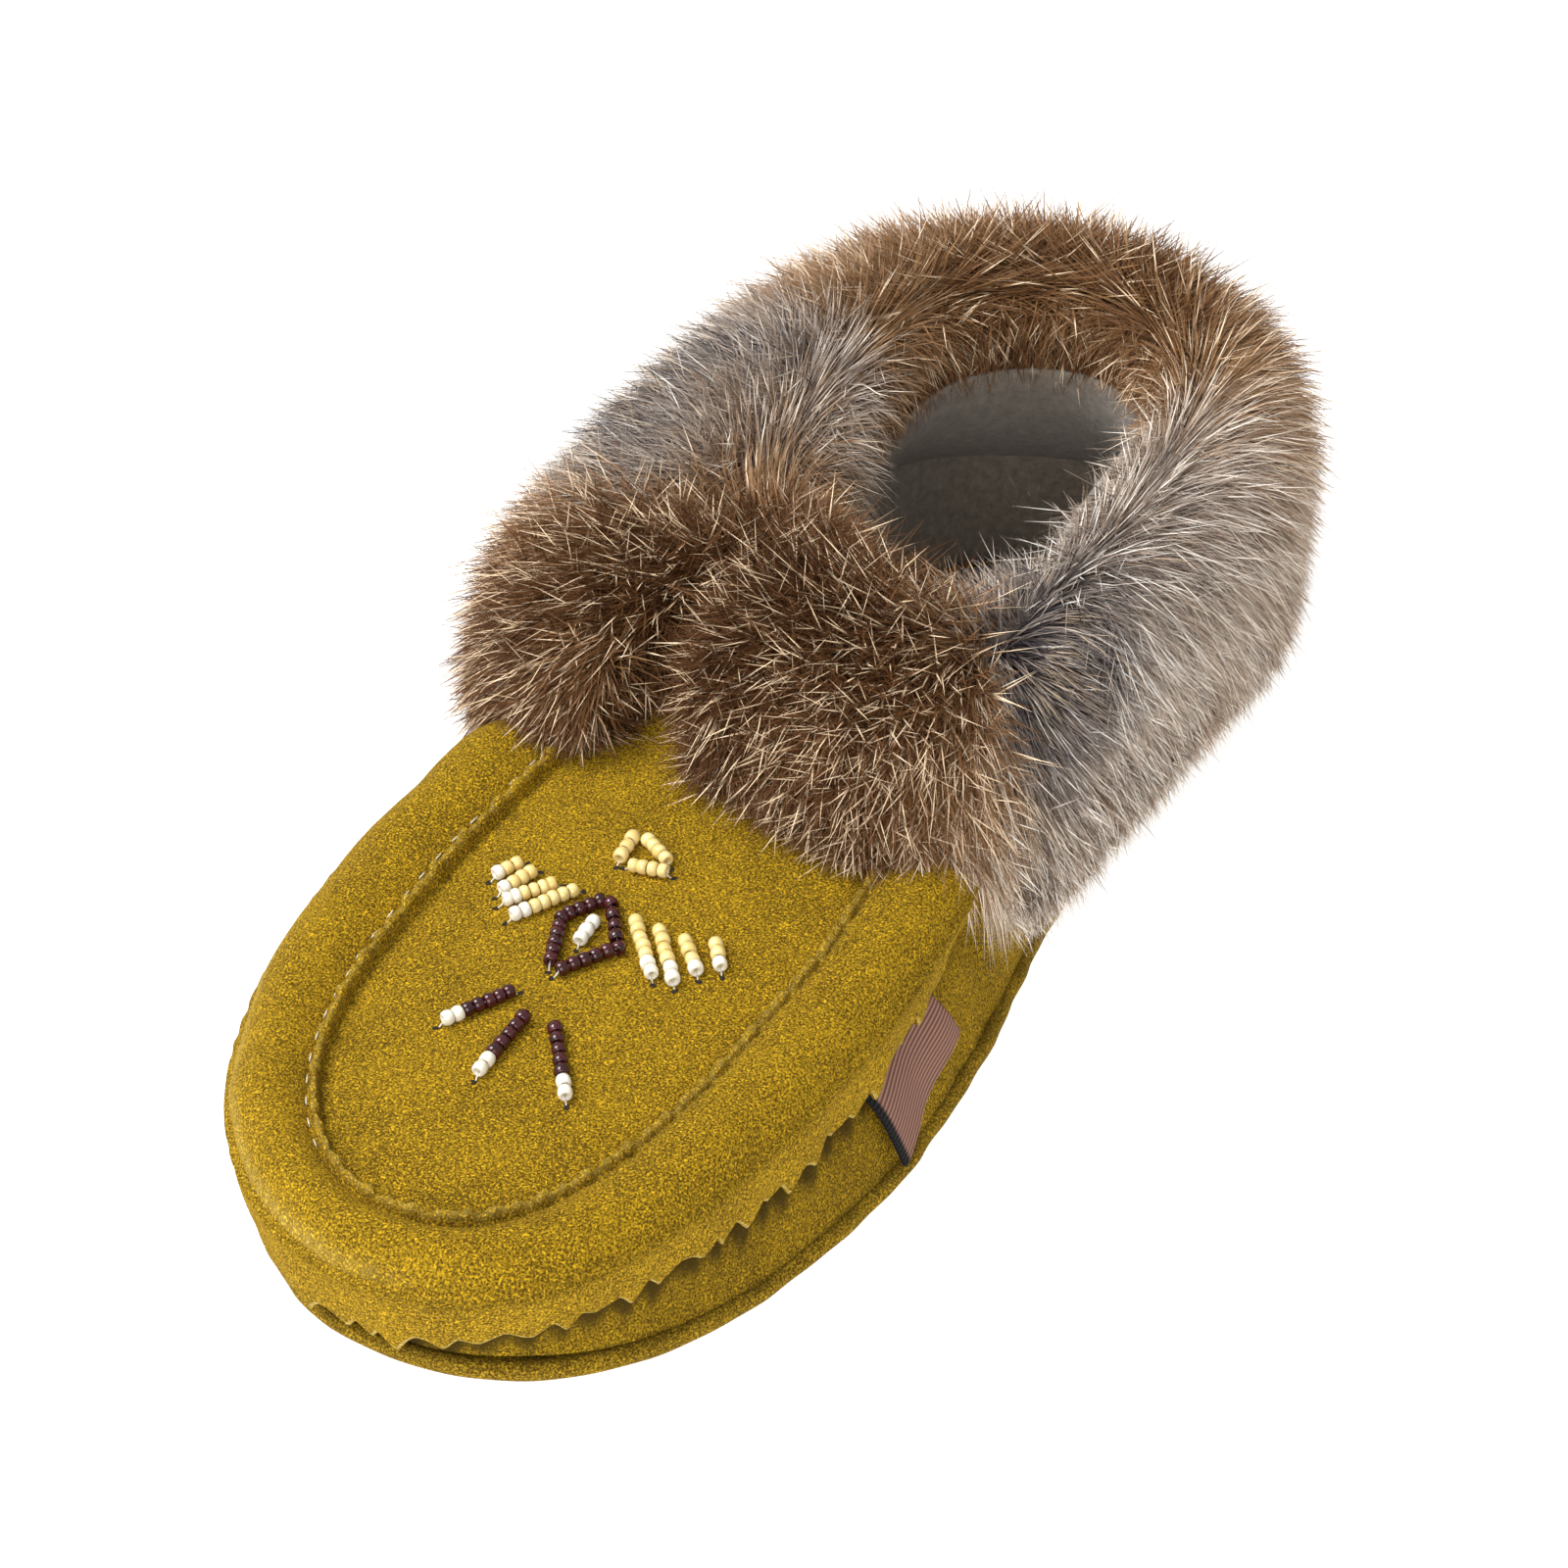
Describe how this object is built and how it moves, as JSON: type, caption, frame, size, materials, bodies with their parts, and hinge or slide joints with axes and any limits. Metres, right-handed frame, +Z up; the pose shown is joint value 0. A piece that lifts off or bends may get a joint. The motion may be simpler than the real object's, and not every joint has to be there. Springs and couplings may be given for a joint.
{
  "type": "fur moccasin",
  "caption": "Right suede moccasin slipper with a soft flat sole, a puffed toe seam, a pinked vamp edge, a deep folded fur cuff round the collar and a beaded bird on the vamp.",
  "frame": {"origin": "on the flat underside of the sole, near the middle of its length", "axes": "+Z up, +Y from toe to heel, +X towards the inner side of the foot"},
  "size_m": [0.1337, 0.2772, 0.0841],
  "materials": {
    "suede": "napped moss-gold suede",
    "sole_suede": "napped suede, slightly soiled",
    "skirt_suede": "napped moss-gold suede with a pinked edge",
    "fleece": "grey pile lining",
    "fur": "long brown and grey fur with pale tips",
    "woven_label": "bare ribbed woven strip",
    "maroon_glass": "opaque glossy seed beads",
    "cream_glass": "opaque glossy seed beads"
  },
  "bodies": {
    "root": {"sole": "sole_suede", "insole": "fleece", "upper": "suede", "fur_collar": "fur", "pinked_skirt": "skirt_suede", "label": "woven_label", "wing_left_1": "cream_glass", "wing_left_2": "cream_glass", "wing_left_3": "cream_glass", "wing_left_4": "cream_glass", "wing_right_1": "cream_glass", "wing_right_2": "cream_glass", "wing_right_3": "cream_glass", "wing_right_4": "cream_glass", "centre_beads": "cream_glass", "tail_left": "maroon_glass", "tail_middle": "maroon_glass", "tail_right": "maroon_glass", "head_left": "cream_glass", "head_right": "cream_glass", "head_base": "cream_glass", "diamond_beads": "maroon_glass"}
  },
  "joints": []
}
